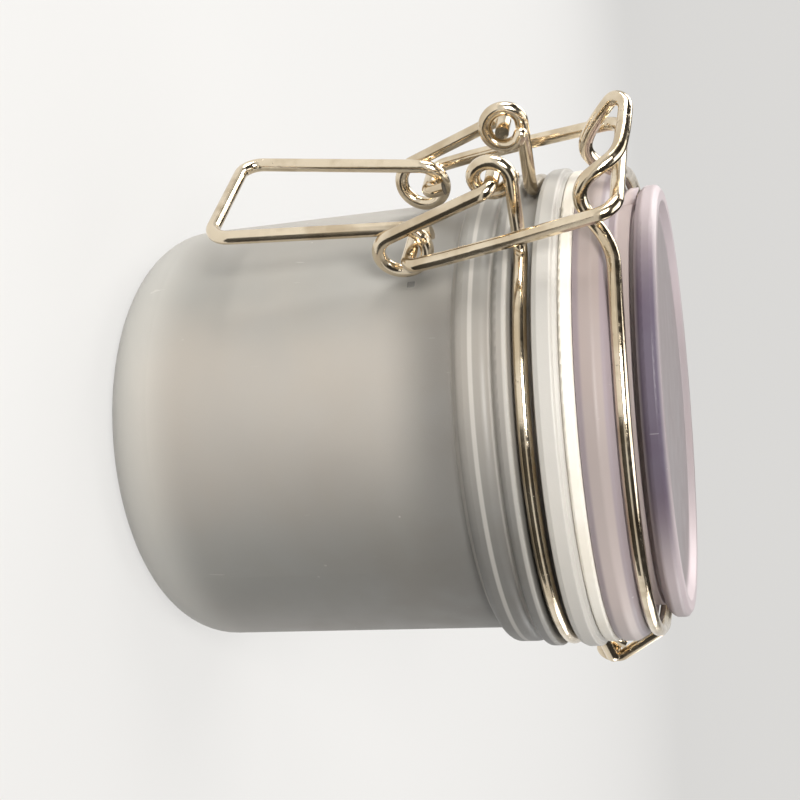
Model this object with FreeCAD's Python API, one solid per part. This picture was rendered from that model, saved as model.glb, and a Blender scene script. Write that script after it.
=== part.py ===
import FreeCAD, Part
import math
import os

# Clip-top storage jar, standing upright on z = 0, clasp towards -Y, hinge towards +Y (mm).
os.makedirs("parts", exist_ok=True)
V = FreeCAD.Vector

# ---- driving dimensions -------------------------------------------------
wire_d = 2.1            # every bent wire of the closure
body_r = 36.0           # jar wall, outside
wall = 2.0              # jar wall thickness
base_t = 2.6            # jar floor thickness
base_corner = 9.8       # rounding between floor and wall
shoulder_z = 58.5       # where the plain wall ends and the neck beads begin
neck_h = 15.9           # from there to the top face of the rim
bead_a = 2.5            # how far the lowest neck bead stands out from the wall
bead_b = 3.3            # bead under the neck wire
bead_c = 3.5            # bead above the neck wire
groove = 0.75           # floor of the groove between them, out from the wall
gasket_t = 1.95         # seal thickness
gasket_w = 6.5          # seal width
skirt_h = 5.0           # lid band
plug_depth = 2.4        # how far the lid reaches into the mouth
plug_wall = 2.0
flange_in = 0.8         # top disc of the lid, in from the jar wall's outside
flange_t = 3.3
recess = 1.2            # shallow well in the lid top
lid_t = 2.2             # lid thickness under the well
eye_out = 11.4          # lever pivot, out from the neck wire
eye_drop = 2.1          # and down from it
eye_x = 8.4             # outer turn of an eye
coil_drop = 17.0        # lever loops, down from the neck wire
pull_reach = 28.6       # finger pull, down from the lever loops
pull_out = 6.7          # and out from them
pull_x = 10.95
bar_x = 12.6            # half the link's bar
hinge_out = 11.5        # hinge bar, out from the neck wire
hinge_rise = 2.7        # and up from it
hinge_eye_x = 11.0
gap = 0.05              # between stacked parts
wire_gap = 0.15         # between a wire and what it lies in
side_gap = 0.4          # between wires that pass each other sideways

# ---- sizes that follow ----------------------------------------------------
wire_r = wire_d / 2.0
rim_z = shoulder_z + neck_h
bead_a_r = body_r + bead_a
bead_b_r = body_r + bead_b
bead_c_r = body_r + bead_c
groove_r = body_r + groove
neck_ring_r = groove_r + wire_r + wire_gap + gap    # centre line of the neck wire
neck_ring_z = rim_z - 5.4
gasket_r = bead_c_r - 0.7
skirt_r = gasket_r
seal_z = rim_z + gap
lid_z = seal_z + gasket_t + gap
skirt_top_z = lid_z + skirt_h
flange_r = body_r - flange_in
lid_neck_r = flange_r - 2.0
lid_ring_r = flange_r + wire_r + 0.85               # centre line of the lid wire
lid_ring_z = skirt_top_z + wire_r + wire_gap + gap
flange_z = lid_ring_z + wire_r + 0.95
top_z = flange_z + flange_t

eye_r = wire_d + 0.65           # mean radius of an eye
eye_y = -(neck_ring_r + eye_out)
eye_z = neck_ring_z - eye_drop
coil_r = wire_d + 1.4           # mean radius of a lever loop
coil_y = -(body_r + coil_r + wire_r - 0.25)
coil_z = neck_ring_z - coil_drop
leg_x = eye_x + wire_d + side_gap       # lever legs
arm_x = leg_x - wire_d - side_gap / 2.0  # lever arms where they leave the loops
loop_x = arm_x + 0.5                    # lever loops where the link hangs
pull_y = coil_y - pull_out
pull_z = coil_z - pull_reach
pin_y = coil_y - 0.1            # link ends, resting inside the lever loops
pin_z = coil_z + coil_r - wire_d - wire_gap
link_x = leg_x + wire_d + 1.3
bar_y = -(lid_ring_r + 3.81 * wire_d)
bar_z = lid_ring_z + 0.57 * wire_d
hinge_y = neck_ring_r + hinge_out
hinge_z = neck_ring_z + hinge_rise
hinge_eye_r = wire_d + 0.25
tongue_x = hinge_eye_x + wire_d + 0.9


# ---- helpers ------------------------------------------------------------
def rounded_loop(points):
    """Closed wire in the XZ plane from (r, z, rounding) corners."""
    n = len(points)
    ends = []
    for i, (r, z, f) in enumerate(points):
        here = V(r, 0, z)
        before = V(points[i - 1][0], 0, points[i - 1][1])
        after = V(points[(i + 1) % n][0], 0, points[(i + 1) % n][1])
        a = (before - here).normalize()
        b = (after - here).normalize()
        half = a.getAngle(b) / 2.0
        if f <= 0:
            ends.append((here, None, here))
            continue
        reach = f / math.tan(half)
        middle = (a + b).normalize()
        top = here + middle * (f / math.sin(half) - f)
        ends.append((here + a * reach, top, here + b * reach))
    edges = []
    for i in range(n):
        start, top, end = ends[i]
        if top is not None:
            edges.append(Part.Arc(start, top, end).toShape())
        follow = ends[(i + 1) % n][0]
        if end.distanceToPoint(follow) > 1e-6:
            edges.append(Part.makeLine(end, follow))
    return Part.Wire(edges)


def turned(points):
    face = Part.Face(rounded_loop(points))
    return face.revolve(V(0, 0, 0), V(0, 0, 1), 360)


def coil_run(y, z, radius, start, end, x_at, side=-1):
    """Corners around a coil about an X axis; angle runs from +Z towards side*Y."""
    count = max(2, math.ceil(abs(end - start) / 48.0))
    part = (end - start) / count
    out = []
    for k in range(count):
        b = start + part * (k + 0.5)
        a = math.radians(b)
        far = radius / math.cos(math.radians(part / 2.0))
        out.append((x_at(b), y + side * far * math.sin(a), z + far * math.cos(a), 0))
    return out


def ring_run(radius, z, start, end):
    """Corners around a ring; angle runs from -Y (clasp) towards +X."""
    count = max(2, math.ceil(abs(end - start) / 22.0))
    part = (end - start) / count
    out = []
    for k in range(count):
        a = math.radians(start + part * (k + 0.5))
        far = radius / math.cos(math.radians(part / 2.0))
        out.append((far * math.sin(a), -far * math.cos(a), z, 0))
    return out


def mirrored(corners):
    return [(-x, y, z, f) for x, y, z, f in reversed(corners)]


def rod(corners):
    """Round wire through (x, y, z, bend radius) corners; 0 bends as widely as the run allows."""
    places = [V(x, y, z) for x, y, z, f in corners]
    edges = []
    last = places[0]
    for i in range(1, len(places) - 1):
        here = places[i]
        before = places[i - 1] - here
        after = places[i + 1] - here
        a = V(before).normalize()
        b = V(after).normalize()
        half = a.getAngle(b) / 2.0
        reach = min(before.Length, after.Length) / 2.0
        if corners[i][3] > 0:
            reach = min(reach * 1.9, corners[i][3] / math.tan(half))
        bend = reach * math.tan(half)
        top = here + V(a + b).normalize() * (bend / math.sin(half) - bend)
        start = here + a * reach
        end = here + b * reach
        if last.distanceToPoint(start) > 1e-5:
            edges.append(Part.makeLine(last, start))
        else:
            start = last
        edges.append(Part.Arc(start, top, end).toShape())
        last = end
    edges.append(Part.makeLine(last, places[-1]))
    direction = (places[1] - places[0]).normalize()
    ring = Part.Wire([Part.Circle(places[0], direction, wire_d / 2.0).toShape()])
    return Part.Wire(edges).makePipeShell([ring], True, False)


def tangent_angle(y, z, radius, from_y, from_z, side, sign):
    """Angle (from +Z towards side*Y) where a line from a point touches a circle."""
    dy = (from_y - y) * side
    dz = from_z - z
    return math.degrees(math.atan2(dy, dz)) + sign * math.degrees(math.acos(radius / math.hypot(dy, dz)))


def save(name, shape):
    solid = shape.Solids[0]
    if solid.Volume < 0:
        solid.reverse()
    solid.exportStep("parts/" + name + ".step")


# ---- jar ----------------------------------------------------------------
bore = body_r - wall
groove_half = wire_r + 0.35
foot_in = body_r - base_corner - 3.2
jar = turned([
    (0.0, 0.9, 0),
    (foot_in - 1.5, 0.9, 1.0),
    (foot_in, 0.0, 0.8),
    (body_r, 0.0, base_corner),
    (body_r + 0.2, shoulder_z, 0.3),
    (bead_a_r, shoulder_z + 1.1, 1.6),
    (bead_a_r, neck_ring_z - 5.4, 1.5),
    (bead_a_r - 0.9, neck_ring_z - 4.35, 0.2),
    (bead_b_r, neck_ring_z - 3.7, 0.8),
    (bead_b_r, neck_ring_z - groove_half - 0.4, 0.35),
    (groove_r, neck_ring_z - groove_half, 0.4),
    (groove_r, neck_ring_z + groove_half, 0.4),
    (bead_c_r - 0.4, neck_ring_z + groove_half + 0.4, 0.3),
    (bead_c_r, neck_ring_z + groove_half + 1.2, 0.3),
    (bead_c_r, rim_z - 0.9, 0.3),
    (bead_c_r - 0.7, rim_z - 0.65, 0.15),
    (bead_c_r - 0.8, rim_z, 0.3),
    (bore - 0.3, rim_z, 0.6),
    (bore, rim_z - 4.0, 3.0),
    (bore, base_t, base_corner - wall),
    (0.0, base_t, 0),
])

# ---- seal and lid -------------------------------------------------------
gasket_in = gasket_r - gasket_w
gasket = turned([
    (gasket_in, seal_z, 0.3),
    (gasket_r, seal_z, 0.45),
    (gasket_r, seal_z + gasket_t, 0.45),
    (gasket_in, seal_z + gasket_t, 0.3),
])

plug_r = gasket_in - 0.3
ceiling_z = top_z - recess - lid_t
lid = turned([
    (0.0, ceiling_z, 0),
    (plug_r - plug_wall, ceiling_z, 1.2),
    (plug_r - plug_wall, rim_z - plug_depth, 0.4),
    (plug_r, rim_z - plug_depth, 0.6),
    (plug_r, lid_z, 0.2),
    (skirt_r - 0.4, lid_z, 0.3),
    (skirt_r, lid_z + 0.9, 1.0),
    (skirt_r, skirt_top_z - 2.25, 1.2),
    (skirt_r - 0.9, skirt_top_z - 0.65, 0.9),
    (skirt_r - 1.6, skirt_top_z, 0.3),
    (lid_neck_r, skirt_top_z + 0.1, 0.6),
    (lid_neck_r, flange_z - 0.8, 0.15),
    (lid_neck_r - 1.1, flange_z - 0.75, 0.1),
    (lid_neck_r - 1.1, flange_z - 0.05, 0.1),
    (flange_r - 0.8, flange_z, 0.4),
    (flange_r, flange_z + 0.9, 0.9),
    (flange_r, top_z - 0.7, 0.7),
    (flange_r - 0.9, top_z, 0.4),
    (flange_r - 2.6, top_z, 0.4),
    (flange_r - 3.4, top_z - recess, 0.4),
    (0.0, top_z - recess, 0),
])

# ---- neck wire: coiled eyes in front, hinge bar behind ------------------
pitch = wire_d + wire_gap - 0.03


def eye_run_x(b):
    return eye_x - pitch * max(0.0, b) / 360.0


front_a = 20.0
back_a = 152.6
start_a = math.radians(front_a)
entry_y = -neck_ring_r * math.cos(start_a)
entry_y -= math.tan(start_a) * (neck_ring_r * math.sin(start_a) - eye_x)
end_a = math.radians(180.0 - back_a)
leave_y = neck_ring_r * math.cos(end_a)
leave_y += math.tan(end_a) * (neck_ring_r * math.sin(end_a) - tongue_x)
half = [(eye_run_x(405), eye_y + eye_r * 0.69, eye_z + eye_r * 0.716, 0)]
half += coil_run(eye_y, eye_z, eye_r, 380, 0, eye_run_x)
half += [(eye_x, entry_y, neck_ring_z, 2.8)]
half += ring_run(neck_ring_r, neck_ring_z, front_a, back_a)
half += [(tongue_x, leave_y, neck_ring_z, 2.8)]
half += [(tongue_x, hinge_y, hinge_z, 2.0)]
neck_wire = rod(half + mirrored(half))

# ---- lid wire: ring, twisted nose in front, curled eyes behind ----------
nose_bends = [      # half width, out and up from the ring's front, in wire thicknesses
    (5.52, 0.00, -0.10),
    (4.48, 1.00, -0.62),
    (3.81, 2.05, -1.48),
    (3.57, 3.38, -2.08),
    (3.38, 4.67, -1.67),
    (2.86, 5.33, -0.33),
    (1.86, 5.67, 0.80),
    (0.30, 6.38, 1.18),
    (-1.84, 7.34, 1.40),
    (-2.62, 7.55, 0.60),
    (-2.76, 6.33, -0.48),
    (-3.05, 4.90, -1.50),
    (-3.14, 3.57, -2.08),
    (-3.52, 2.19, -1.57),
    (-4.38, 1.05, -0.67),
    (-5.52, 0.00, -0.10),
]
nose = []
for x, out, up in nose_bends:
    nose.append((x * wire_d, -lid_ring_r - out * wire_d, lid_ring_z + up * wire_d, 0))
lid_front_a = 25.0
lid_back_a = 156.2
end_a = math.radians(180.0 - lid_back_a)
off_y = lid_ring_r * math.cos(end_a)
off_y += math.tan(end_a) * (lid_ring_r * math.sin(end_a) - hinge_eye_x)
elbow_y = lid_ring_r + 7.2
elbow_z = lid_ring_z - 1.5
touch = tangent_angle(hinge_y, hinge_z, hinge_eye_r, elbow_y, elbow_z, 1, 1)
curl_end = math.radians(325.0)
back = [(
    hinge_eye_x,
    hinge_y + hinge_eye_r * math.sin(curl_end),
    hinge_z + hinge_eye_r * math.cos(curl_end),
    0,
)]
back += coil_run(hinge_y, hinge_z, hinge_eye_r, 300, touch, lambda b: hinge_eye_x, 1)
back += [(hinge_eye_x, elbow_y, elbow_z, 4.0)]
back += [(hinge_eye_x, off_y, lid_ring_z, 2.4)]
back += ring_run(lid_ring_r, lid_ring_z, lid_back_a, lid_front_a)
lid_wire = rod(back + nose + mirrored(back))

# ---- lever: hooked legs, one full loop each side, finger pull -----------
leave_b = tangent_angle(coil_y, coil_z, coil_r, eye_y, eye_z, -1, 1)
arm_b = tangent_angle(coil_y, coil_z, coil_r, pull_y, pull_z, -1, -1) + 360.0


def loop_run_x(b):
    if b < 300.0:
        return leg_x + (loop_x - leg_x) * (b - leave_b) / (300.0 - leave_b)
    if b < 395.0:
        return loop_x
    return loop_x + (arm_x - loop_x) * (b - 395.0) / (arm_b - 395.0)


half = [(eye_x - 3.0, eye_y, eye_z, 0)]
half += [(leg_x, eye_y, eye_z, 1.8)]
half += coil_run(coil_y, coil_z, coil_r, leave_b, arm_b, loop_run_x)
half += [(pull_x, pull_y, pull_z, 3.0)]
lever = rod(half + mirrored(half))

# ---- link: bar over the lid nose, long arms, ends turned into the loops --
hook_x = loop_x - 2.8
half = [
    (hook_x, pin_y - 0.5, pin_z + 2.8, 0),
    (hook_x, pin_y, pin_z, 1.4),
    (link_x, pin_y, pin_z, 2.1),
    (link_x + 0.1, pin_y - 1.0, pin_z + 6.25, 30.0),
    (link_x - 0.45, bar_y + 2.1, bar_z - 13.9, 60.0),
    (bar_x + 0.1, bar_y, bar_z, 3.3),
]
link = rod(half + mirrored(half))

nodes = {
    "jar": jar,
    "gasket": gasket,
    "lid": lid,
    "neck_wire": neck_wire,
    "lid_wire": lid_wire,
    "lever": lever,
    "link": link,
}
for name, shape in nodes.items():
    save(name, shape)
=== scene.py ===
import bpy
import bmesh
import math
from mathutils import Matrix, Vector


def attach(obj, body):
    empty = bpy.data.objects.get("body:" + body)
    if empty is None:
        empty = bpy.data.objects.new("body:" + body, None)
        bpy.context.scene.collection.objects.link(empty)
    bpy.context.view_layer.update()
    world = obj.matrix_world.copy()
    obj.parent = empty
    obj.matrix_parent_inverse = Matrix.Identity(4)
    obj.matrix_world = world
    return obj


# Clip-top storage jar: looks, small trims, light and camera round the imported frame.
# Metres, +Z up, clasp towards -Y. Materials and trims are written in mm, and angles round
# the jar in degrees from +X.
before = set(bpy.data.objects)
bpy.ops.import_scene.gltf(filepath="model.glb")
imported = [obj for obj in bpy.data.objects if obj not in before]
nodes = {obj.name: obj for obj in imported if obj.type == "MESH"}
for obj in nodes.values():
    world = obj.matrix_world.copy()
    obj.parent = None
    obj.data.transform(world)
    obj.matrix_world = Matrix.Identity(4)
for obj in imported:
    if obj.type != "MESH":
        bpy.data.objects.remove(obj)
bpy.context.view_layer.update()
scene = bpy.context.scene
MM = 0.001

# The colour of the jar's painted shade, and the side of the jar on which that painted shade is
# strongest.
PAINTED_SHADE = (0.170, 0.160, 0.145, 1.0)
PAINTED_SHADE_TURN = 42.0


# ---- node helpers --------------------------------------------------------
class Mat:
    """A node material with short helpers; places are object coordinates in millimetres."""

    def __init__(self, name):
        self.mat = bpy.data.materials.new(name)
        self.mat.use_nodes = True
        self.tree = self.mat.node_tree
        self.shader = self.tree.nodes["Principled BSDF"]
        coord = self.node("ShaderNodeTexCoord")
        to_mm = self.node("ShaderNodeVectorMath")
        to_mm.operation = "SCALE"
        self.link(coord.outputs["Object"], to_mm.inputs[0])
        to_mm.inputs["Scale"].default_value = 1.0 / MM
        self.place = to_mm.outputs["Vector"]
        split = self.node("ShaderNodeSeparateXYZ")
        self.link(self.place, split.inputs[0])
        self.x, self.y, self.z = split.outputs

    def node(self, kind):
        return self.tree.nodes.new(kind)

    def link(self, source, socket):
        self.tree.links.new(source, socket)

    def put(self, socket, value):
        """Join a node's output to the socket, or set the socket to a plain value."""
        if isinstance(value, bpy.types.NodeSocket):
            self.link(value, socket)
        else:
            socket.default_value = value

    def math(self, operation, first, second=0.0):
        n = self.node("ShaderNodeMath")
        n.operation = operation
        self.put(n.inputs[0], first)
        self.put(n.inputs[1], second)
        return n.outputs[0]

    def plus(self, first, second):
        return self.math("ADD", first, second)

    def times(self, first, second):
        return self.math("MULTIPLY", first, second)

    def larger(self, first, second):
        return self.math("MAXIMUM", first, second)

    def noise(self, size, detail=3.0, stretch=(1.0, 1.0, 1.0), distortion=0.0):
        """Noise with features about size mm across; stretch lengthens them along an axis."""
        scaled = self.node("ShaderNodeVectorMath")
        scaled.operation = "MULTIPLY"
        self.link(self.place, scaled.inputs[0])
        scaled.inputs[1].default_value = tuple(1.0 / (size * s) for s in stretch)
        n = self.node("ShaderNodeTexNoise")
        n.inputs["Scale"].default_value = 1.0
        n.inputs["Detail"].default_value = detail
        n.inputs["Distortion"].default_value = distortion
        self.link(scaled.outputs["Vector"], n.inputs["Vector"])
        return n.outputs["Fac"]

    def specks(self, size):
        """Distance from the nearest of scattered points about size mm apart, as a share of size."""
        n = self.node("ShaderNodeTexVoronoi")
        n.inputs["Scale"].default_value = 1.0 / size
        self.link(self.place, n.inputs["Vector"])
        return n.outputs["Distance"]

    def span(self, value, low, high, out_low=0.0, out_high=1.0):
        """value mapped smoothly from low..high to out_low..out_high."""
        n = self.node("ShaderNodeMapRange")
        n.interpolation_type = "SMOOTHSTEP"
        self.put(n.inputs["Value"], value)
        n.inputs["From Min"].default_value = low
        n.inputs["From Max"].default_value = high
        n.inputs["To Min"].default_value = out_low
        n.inputs["To Max"].default_value = out_high
        return n.outputs["Result"]

    def band(self, value, low, high, soft):
        """1 between low and high, falling to 0 over soft on each side."""
        rise = self.span(value, low - soft, low)
        fall = self.span(value, high, high + soft, 1.0, 0.0)
        return self.times(rise, fall)

    def reach(self):
        """Distance out from the jar's axis, in mm."""
        x_squared = self.math("POWER", self.x, 2.0)
        y_squared = self.math("POWER", self.y, 2.0)
        return self.math("SQRT", self.plus(x_squared, y_squared))

    def lobes(self, count, turn):
        """1 at count places round the jar, one of them at the angle turn, and 0 between them.

        It settles to one half near the axis, so that flat faces carry no rays."""
        still_r = 26.0
        full_r = 33.5
        angle = self.math("ARCTAN2", self.y, self.x)
        wave = self.math("COSINE", self.times(self.math("SUBTRACT", angle, math.radians(turn)), count))
        wave = self.times(wave, self.span(self.reach(), still_r, full_r))
        return self.times(self.plus(wave, 1.0), 0.5)

    def mix(self, amount, first, second):
        """first where amount is 0, second where it is 1."""
        n = self.node("ShaderNodeMix")
        n.data_type = "RGBA"
        self.put(n.inputs["Factor"], amount)
        self.put(n.inputs["A"], first)
        self.put(n.inputs["B"], second)
        return n.outputs["Result"]

    def bump(self, height, depth, before=None):
        """A bump of depth mm over the height, on top of an earlier bump."""
        n = self.node("ShaderNodeBump")
        n.inputs["Distance"].default_value = depth * MM
        self.link(height, n.inputs["Height"])
        if before is not None:
            self.link(before, n.inputs["Normal"])
        return n.outputs["Normal"]

    def set(self, **values):
        """Values for the shader's own sockets, with _ for each space in a socket's name."""
        for name, value in values.items():
            self.put(self.shader.inputs[name.replace("_", " ")], value)


# ---- frosted plastic -----------------------------------------------------
def clouding(m, haze):
    """Slow changes of tone, with a little of the finer haze in them."""
    cloud = m.noise(26.0, 4.0, (1.0, 1.0, 0.7))
    return m.span(m.plus(m.times(cloud, 0.7), m.times(haze, 0.3)), 0.35, 0.65)


def wear(m):
    """Fine upright scratches in patches, and scattered specks."""
    scratch = m.span(m.noise(0.55, 2.0, (1.0, 1.0, 9.0), 0.6), 0.73, 0.76)
    scratch = m.times(scratch, m.span(m.noise(11.0, 2.0), 0.52, 0.66))
    speck = m.span(m.specks(3.6), 0.05, 0.085, 1.0, 0.0)
    speck = m.times(speck, m.span(m.noise(9.0), 0.56, 0.62))
    return m.larger(m.times(scratch, 0.35), m.times(speck, 0.5))


def frost(m, colour, roughness):
    """Finish shared by the plastics: clouding, wear and the frosted grain."""
    bluish = (0.42, 0.46, 0.50, 1.0)
    chalk = (0.86, 0.84, 0.80, 1.0)
    haze = m.noise(5.0, 5.0)
    colour = m.mix(clouding(m, haze), m.mix(0.10, colour, bluish), colour)
    colour = m.mix(wear(m), colour, chalk)
    grain = m.bump(m.noise(0.16, 2.0), 0.012)
    waves = m.bump(m.noise(14.0, 1.0), 0.10, grain)
    rough = m.plus(m.times(haze, 0.16), roughness - 0.08)
    m.set(Base_Color=colour, Roughness=rough, Normal=waves, IOR=1.49)


def body_colour(m, streak_light_and_tone, wander):
    """Painted light and shade up the wall: lit and shaded streaks with random tone in them, painted
    shade strongest on the hinge side and deeper higher up, painted light left of the clasp.
    """
    painted_light_turn = -122.0
    lit_streak = (0.500, 0.462, 0.412, 1.0)
    shaded_streak = (0.385, 0.380, 0.355, 1.0)
    pale = (0.560, 0.535, 0.490, 1.0)
    # Painted light and shade: lit and shaded streaks round the wall, mixed with random tone.
    colour = m.mix(m.span(streak_light_and_tone, -0.15, 0.95), shaded_streak, lit_streak)
    # Painted shade on the hinge side, deeper higher up the wall.
    hinge_side_shade = m.plus(m.lobes(1.0, PAINTED_SHADE_TURN), m.times(wander, 0.3))
    shade_upward = m.span(m.z, 5.0, 52.0, 0.55, 1.3)
    colour = m.mix(m.times(m.span(hinge_side_shade, 0.40, 1.0, 0.0, 0.55), shade_upward), colour, PAINTED_SHADE)
    # Painted light on the side left of the clasp.
    return m.mix(m.span(m.lobes(1.0, painted_light_turn), 0.84, 1.0, 0.0, 0.65), colour, pale)


def jar_plastic():
    """Streaked body of painted light and shade, a pale foot with painted light on its rim, painted shade
    on the shoulder and beads, a milky neck with painted shade on one side, and painted highlight lines
    round the beads and neck.
    """
    foot = (0.800, 0.790, 0.745, 1.0)
    milky = (0.800, 0.765, 0.705, 1.0)
    milky_shaded = (0.600, 0.580, 0.540, 1.0)
    painted_streak_turn = -43.0
    neck_shade_turn = -100.0
    foot_top = 16.0
    shoulder_low, shoulder_high = 47.0, 57.8
    beads_z = 58.6
    neck_z = 70.2
    painted_highlight_lines = ((58.6, 59.2), (61.6, 62.0), (64.4, 64.8), (66.7, 67.1), (73.4, 74.3))
    m = Mat("frosted_plastic")
    wander = m.times(m.math("SUBTRACT", m.noise(19.0, 2.0), 0.5), 0.7)
    # Painted light and shade in four lobes round the jar, with random tone added.
    streak_light_and_tone = m.plus(m.lobes(4.0, painted_streak_turn), wander)
    colour = body_colour(m, streak_light_and_tone, wander)
    # The foot paler: its thicker plastic, with painted light on its rim, which faces down.
    colour = m.mix(m.span(m.z, foot_top, 1.0, 0.0, 0.85), colour, foot)
    above = m.span(m.z, beads_z, beads_z + 0.8)
    # Painted shade on the beads, strongest on the hinge side.
    beads = m.times(above, m.span(m.lobes(1.0, PAINTED_SHADE_TURN), 0.55, 1.0, 0.30, 0.80))
    colour = m.mix(beads, colour, PAINTED_SHADE)
    # Painted shade over the shoulder below the beads, following the painted streaks.
    shoulder = m.times(m.span(m.z, shoulder_low, shoulder_low + 10.0),
                       m.span(m.z, shoulder_high, shoulder_high + 1.2, 1.0, 0.0))
    colour = m.mix(m.times(shoulder, m.span(streak_light_and_tone, -0.2, 1.0, 0.45, 0.8)), colour, PAINTED_SHADE)
    # Painted shade on one side of the milky neck.
    neck = m.mix(m.span(m.lobes(1.0, neck_shade_turn), 0.55, 0.95), milky, milky_shaded)
    colour = m.mix(m.span(m.z, neck_z, neck_z + 1.0, 0.0, 0.95), colour, neck)
    # Painted highlight lines round the beads and the neck.
    for low, high in painted_highlight_lines:
        colour = m.mix(m.times(m.band(m.z, low, high, 0.25), 0.5), colour, milky)
    frost(m, colour, 0.43)
    m.set(Transmission_Weight=0.25)
    return m.mat


def lid_plastic():
    """Pink band with lilac edges, rosy flange with a painted purple shade on its side, dusky sunk top;
    painted light on two opposite sides of band and flange.
    """
    pink = (0.410, 0.340, 0.318, 1.0)
    lit_pink = (0.640, 0.545, 0.520, 1.0)
    lilac = (0.330, 0.270, 0.310, 1.0)
    purple = (0.085, 0.058, 0.098, 1.0)
    rosy = (0.360, 0.305, 0.312, 1.0)
    lit_rosy = (0.620, 0.535, 0.555, 1.0)
    dusk = (0.265, 0.235, 0.240, 1.0)
    lid_painted_light_turn = 40.0
    purple_shade_turn = -43.0
    sunk_r = 29.5
    flange_side_r = 33.4
    m = Mat("tinted_plastic")
    # Painted light on two opposite sides of the band and the flange: lit and shaded copies of the pink
    # and the rosy.
    lid_painted_light = m.span(m.lobes(2.0, lid_painted_light_turn), 0.02, 0.75)
    colour = m.mix(lid_painted_light, pink, lit_pink)
    edges = m.larger(m.band(m.z, 76.3, 77.1, 0.6), m.band(m.z, 80.5, 81.6, 0.4))
    colour = m.mix(m.times(edges, 0.7), colour, lilac)
    colour = m.mix(m.span(m.z, 83.4, 84.6), colour, m.mix(lid_painted_light, rosy, lit_rosy))
    sunk = m.times(m.span(m.z, 84.0, 84.6), m.span(m.reach(), sunk_r, sunk_r + 3.0, 0.85, 0.0))
    colour = m.mix(sunk, colour, dusk)
    # Painted shade: a dark purple band round the flange's side, strongest on two opposite sides.
    glow = m.times(m.band(m.z, 85.3, 87.4, 0.7), m.span(m.lobes(2.0, purple_shade_turn), 0.30, 0.95))
    outside = m.span(m.reach(), flange_side_r, flange_side_r + 0.8, 0.0, 0.95)
    colour = m.mix(m.times(glow, outside), colour, purple)
    frost(m, colour, 0.40)
    m.set(Transmission_Weight=0.18, Specular_IOR_Level=0.25)
    return m.mat


def shadow_mark_plastic():
    """The darker plastic of the raised mark on the wall: painted shade standing in for the lever loop's
    contact shadow.
    """
    dark = (0.17, 0.165, 0.155, 1.0)
    m = Mat("shadow_mark_plastic")
    frost(m, dark, 0.5)
    return m.mat


# ---- seal ----------------------------------------------------------------
def seal_rubber():
    """Cream rubber with faint dust."""
    cream = (0.850, 0.800, 0.705, 1.0)
    cream_light = (0.890, 0.855, 0.780, 1.0)
    dirt = (0.40, 0.37, 0.32, 1.0)
    m = Mat("seal_rubber")
    soft = m.noise(7.0, 4.0)
    dust = m.span(m.specks(2.2), 0.04, 0.10, 1.0, 0.0)
    colour = m.mix(m.span(soft, 0.35, 0.65), cream, cream_light)
    colour = m.mix(m.times(dust, 0.12), colour, dirt)
    rough = m.span(soft, 0.3, 0.7, 0.50, 0.64)
    m.set(Base_Color=colour, Roughness=rough, Normal=m.bump(m.noise(0.22, 3.0), 0.015), IOR=1.45)
    return m.mat


# ---- wire ----------------------------------------------------------------
def steel_wire():
    """Bright drawn wire with a warm tint, faint stains and small nicks."""
    bright = (0.790, 0.685, 0.525, 1.0)
    stained = (0.585, 0.480, 0.335, 1.0)
    scuffed = (0.30, 0.25, 0.20, 1.0)
    m = Mat("steel_wire")
    drawn = m.noise(1.1, 4.0, (1.0, 1.0, 4.0), 0.3)
    colour = m.mix(m.span(m.noise(6.0, 3.0), 0.40, 0.66), bright, stained)
    nick = m.span(m.noise(0.7, 3.0, (1.0, 1.0, 2.2), 1.0), 0.66, 0.72)
    nick = m.times(nick, m.span(m.noise(8.0, 1.0), 0.5, 0.6))
    colour = m.mix(m.times(nick, 0.6), colour, scuffed)
    rough = m.plus(m.span(drawn, 0.3, 0.7, 0.10, 0.20), m.times(nick, 0.25))
    normal = m.bump(drawn, 0.02, m.bump(nick, 0.03))
    m.set(Base_Color=colour, Metallic=1.0, Roughness=rough, Normal=normal)
    return m.mat


def dress(name, material):
    """Give a CAD node its one material."""
    materials = nodes[name].data.materials
    materials.clear()
    materials.append(material)


# ---- small moulded trims -------------------------------------------------
def skinned(name, rows, end_cap):
    """An object with a skin through rows of points of equal length, closed at the first row."""
    mesh = bpy.data.meshes.new(name)
    shape = bmesh.new()
    rings = []
    for row in rows:
        rings.append([shape.verts.new(point) for point in row])
    for first, second in zip(rings, rings[1:]):
        for k in range(len(first)):
            follow = (k + 1) % len(first)
            shape.faces.new((first[k], first[follow], second[follow], second[k]))
    shape.faces.new(list(reversed(rings[0])))
    if end_cap:
        shape.faces.new(rings[-1])
    bmesh.ops.recalc_face_normals(shape, faces=shape.faces)
    shape.to_mesh(mesh)
    shape.free()
    thing = bpy.data.objects.new(name, mesh)
    scene.collection.objects.link(thing)
    return thing


def trim(name, rows, material, body):
    """A small closed piece with eased edges that rides on a body."""
    ease = 0.12
    piece = skinned(name, rows, True)
    piece.data.materials.append(material)
    eased = piece.modifiers.new("rounding", "BEVEL")
    eased.width = ease * MM
    eased.segments = 2
    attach(piece, body)


def spot(turn, out, z):
    """A point from its angle round the jar, its distance out and its height."""
    a = math.radians(turn)
    return (out * MM * math.cos(a), out * MM * math.sin(a), z * MM)


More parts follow.
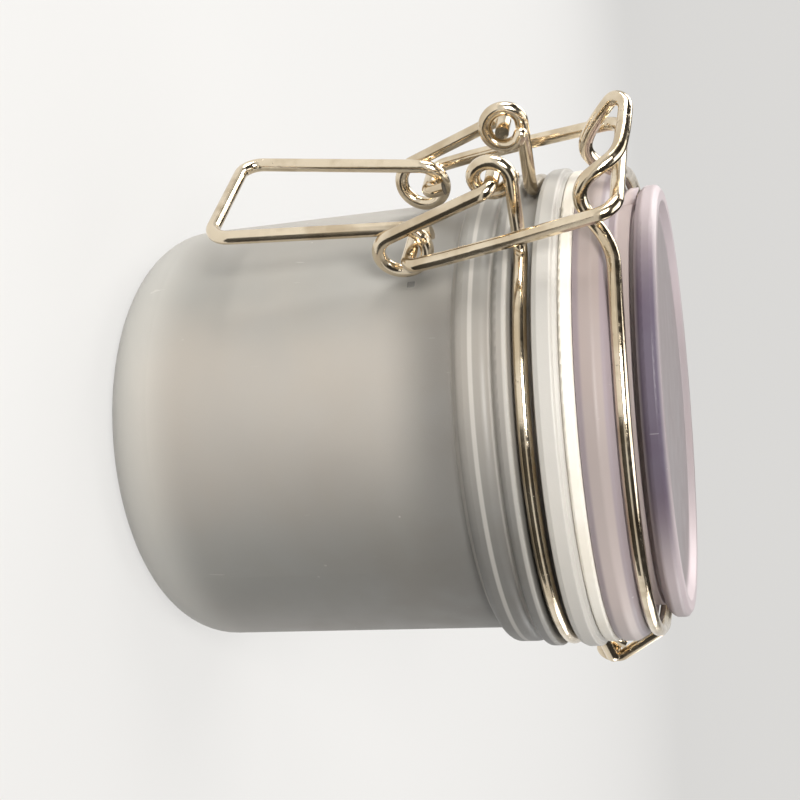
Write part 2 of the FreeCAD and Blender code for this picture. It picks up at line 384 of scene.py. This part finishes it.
def lid_tab(material):
    """The tab in the lid's groove beside the clasp; it narrows and curls up on its way out."""
    turn = -111.0
    half_turn = 1.7
    top_share = 0.7
    sections = ((32.9, 82.2, 84.4, 1.3), (34.3, 82.5, 84.5, 1.0),
                (35.1, 83.0, 84.9, 0.8), (35.5, 83.7, 85.0, 0.6))
    rows = []
    for out, low, high, spread in sections:
        wide = half_turn * spread
        narrow = wide * top_share
        rows.append([spot(turn - wide, out, low), spot(turn + wide, out, low),
                     spot(turn + narrow, out, high), spot(turn - narrow, out, high)])
    trim("lid_tab", rows, material, "top")


def wall_shadow_pip(material):
    """A small raised mark on the wall under the right-hand lever loop, dark as painted shade for the
    loop's contact shadow.
    """
    turn = -73.6
    low = 51.4
    half_turn_per_mm = 0.75
    rows = []
    for out, size in ((35.9, 1.3), (36.25, 1.15)):
        half = half_turn_per_mm * size
        rows.append([spot(turn - half, out, low), spot(turn + half, out, low),
                     spot(turn + half, out, low + size), spot(turn - half, out, low + size)])
    trim("wall_shadow_pip", rows, material, "base")


def foot_gate(material):
    """The moulding point in the middle of the foot's recess."""
    steps = 24
    rows = []
    for out, z in ((1.9, 0.95), (1.8, 0.62), (0.8, 0.45)):
        rows.append([spot(360.0 * k / steps, out, z) for k in range(steps)])
    trim("foot_gate", rows, material, "base")


# ---- stage, light and camera ---------------------------------------------
def paper():
    """Pale paper: what the camera, metal and clear plastic see is paler than the light it gives back."""
    bounce = (0.34, 0.335, 0.325, 1.0)
    lit = (0.20, 0.198, 0.194, 1.0)
    glow = (0.63, 0.623, 0.61, 1.0)
    mat = bpy.data.materials.new("studio_paper")
    mat.use_nodes = True
    tree = mat.node_tree
    tree.nodes.clear()
    path = tree.nodes.new("ShaderNodeLightPath")
    seen = path.outputs["Is Camera Ray"]
    for ray in ("Is Glossy Ray", "Is Transmission Ray"):
        either = tree.nodes.new("ShaderNodeMath")
        either.operation = "MAXIMUM"
        tree.links.new(seen, either.inputs[0])
        tree.links.new(path.outputs[ray], either.inputs[1])
        seen = either.outputs[0]
    dim = tree.nodes.new("ShaderNodeBsdfDiffuse")
    dim.inputs["Color"].default_value = bounce
    shaded = tree.nodes.new("ShaderNodeBsdfDiffuse")
    shaded.inputs["Color"].default_value = lit
    even = tree.nodes.new("ShaderNodeEmission")
    even.inputs["Color"].default_value = glow
    pale = tree.nodes.new("ShaderNodeAddShader")
    tree.links.new(shaded.outputs[0], pale.inputs[0])
    tree.links.new(even.outputs[0], pale.inputs[1])
    mixed = tree.nodes.new("ShaderNodeMixShader")
    tree.links.new(seen, mixed.inputs["Fac"])
    tree.links.new(dim.outputs[0], mixed.inputs[1])
    tree.links.new(pale.outputs[0], mixed.inputs[2])
    out = tree.nodes.new("ShaderNodeOutputMaterial")
    tree.links.new(mixed.outputs[0], out.inputs["Surface"])
    return mat


def floor():
    """A flat round floor that sweeps up all round into an upright wall."""
    floor_r = 1.1
    cap_share = 0.3
    sweep_r = 0.5
    sweep_steps = 12
    round_steps = 96
    profile = [(floor_r * cap_share, 0.0), (floor_r, 0.0)]
    for k in range(1, sweep_steps + 1):
        a = math.radians(90.0 * k / sweep_steps)
        profile.append((floor_r + sweep_r * math.sin(a), sweep_r * (1.0 - math.cos(a))))
    rows = []
    for r, z in profile:
        row = []
        for k in range(round_steps):
            a = 2.0 * math.pi * k / round_steps
            row.append((r * math.cos(a), r * math.sin(a), z))
        rows.append(row)
    bowl = skinned("studio_floor", rows, False)
    for face in bowl.data.polygons:
        face.use_smooth = True
    bowl.data.materials.append(paper())


def dark_card():
    """A dark card on the floor in front, seen only in reflections, that gives the wires a dark side."""
    turns = (-34.0, 6.0, 46.0)
    near = 0.06
    far = 0.8
    height = 0.001
    nearly_black = (0.02, 0.018, 0.015, 1.0)
    mat = bpy.data.materials.new("dark_card")
    mat.use_nodes = True
    shader = mat.node_tree.nodes["Principled BSDF"]
    shader.inputs["Base Color"].default_value = nearly_black
    shader.inputs["Roughness"].default_value = 0.9
    corners = []
    for turn in turns:
        a = math.radians(turn)
        for out in (near, far):
            corners.append((out * math.cos(a), out * math.sin(a), height))
    mesh = bpy.data.meshes.new("dark_card")
    mesh.from_pydata(corners, [], [(0, 1, 3, 2), (2, 3, 5, 4)])
    mesh.materials.append(mat)
    card = bpy.data.objects.new("dark_card", mesh)
    scene.collection.objects.link(card)
    card.visible_camera = False
    card.visible_diffuse = False
    card.visible_transmission = False
    card.visible_shadow = False


def softbox(name, place, size, power, colour=(1.0, 1.0, 1.0)):
    """A rectangular lamp that faces the middle of the jar."""
    middle = Vector((0.0, 0.0, 0.045))
    data = bpy.data.lights.new(name, "AREA")
    data.shape = "RECTANGLE"
    data.size, data.size_y = size
    data.energy = power
    data.color = colour
    lamp = bpy.data.objects.new(name, data)
    lamp.location = place
    aim = middle - Vector(place)
    lamp.rotation_euler = aim.to_track_quat("-Z", "Y").to_euler()
    scene.collection.objects.link(lamp)


def lamps():
    soft_white = (1.0, 0.99, 0.97)
    softbox("key", (-0.40, -0.84, 0.30), (0.55, 0.45), 5.8, (1.0, 0.975, 0.94))
    softbox("window", (0.50, -0.52, 0.46), (0.34, 0.30), 7.4, (1.0, 0.985, 0.96))
    softbox("top", (0.0, 0.10, 0.95), (0.7, 0.7), 3.6)
    softbox("back", (-0.62, -0.12, 0.52), (0.5, 0.5), 3.4, soft_white)
    softbox("hinge", (0.12, 0.85, 0.34), (0.5, 0.4), 1.6, soft_white)


def room_light():
    """A weak world light that is pale near the horizon and dark overhead."""
    world = bpy.data.worlds.new("studio")
    scene.world = world
    world.use_nodes = True
    tree = world.node_tree
    back = tree.nodes["Background"]
    coord = tree.nodes.new("ShaderNodeTexCoord")
    split = tree.nodes.new("ShaderNodeSeparateXYZ")
    ramp = tree.nodes.new("ShaderNodeValToRGB")
    pale, dark = ramp.color_ramp.elements
    pale.position = 0.18
    pale.color = (0.72, 0.71, 0.69, 1.0)
    dark.position = 0.42
    dark.color = (0.07, 0.065, 0.06, 1.0)
    tree.links.new(coord.outputs["Generated"], split.inputs[0])
    tree.links.new(split.outputs["Z"], ramp.inputs["Fac"])
    tree.links.new(ramp.outputs["Color"], back.inputs["Color"])
    back.inputs["Strength"].default_value = 0.55


def camera():
    """Above the shoulder on the clasp side, turned on its side so that the jar lies across the frame."""
    place = Vector((0.1626, -0.1365, 0.1011))
    target = Vector((-0.0008, -0.0037, 0.0409))
    roll = math.radians(85.68)
    data = bpy.data.cameras.new("camera")
    data.lens = 56.83
    data.sensor_width = 36.0
    data.clip_start = 0.01
    thing = bpy.data.objects.new("camera", data)
    look = (target - place).to_track_quat("-Z", "Y").to_matrix().to_4x4()
    thing.matrix_world = Matrix.Translation(place) @ look @ Matrix.Rotation(roll, 4, "Z")
    scene.collection.objects.link(thing)
    scene.camera = thing


# ---- the scene -----------------------------------------------------------
frosted = jar_plastic()
tinted = lid_plastic()
rubber = seal_rubber()
wire = steel_wire()
dress("jar", frosted)
dress("lid", tinted)
dress("gasket", rubber)
for name in ("neck_wire", "lid_wire", "lever", "link"):
    dress(name, wire)
lid_tab(tinted)
wall_shadow_pip(shadow_mark_plastic())
foot_gate(frosted)
floor()
dark_card()
lamps()
room_light()
camera()
scene.view_settings.view_transform = "Standard"
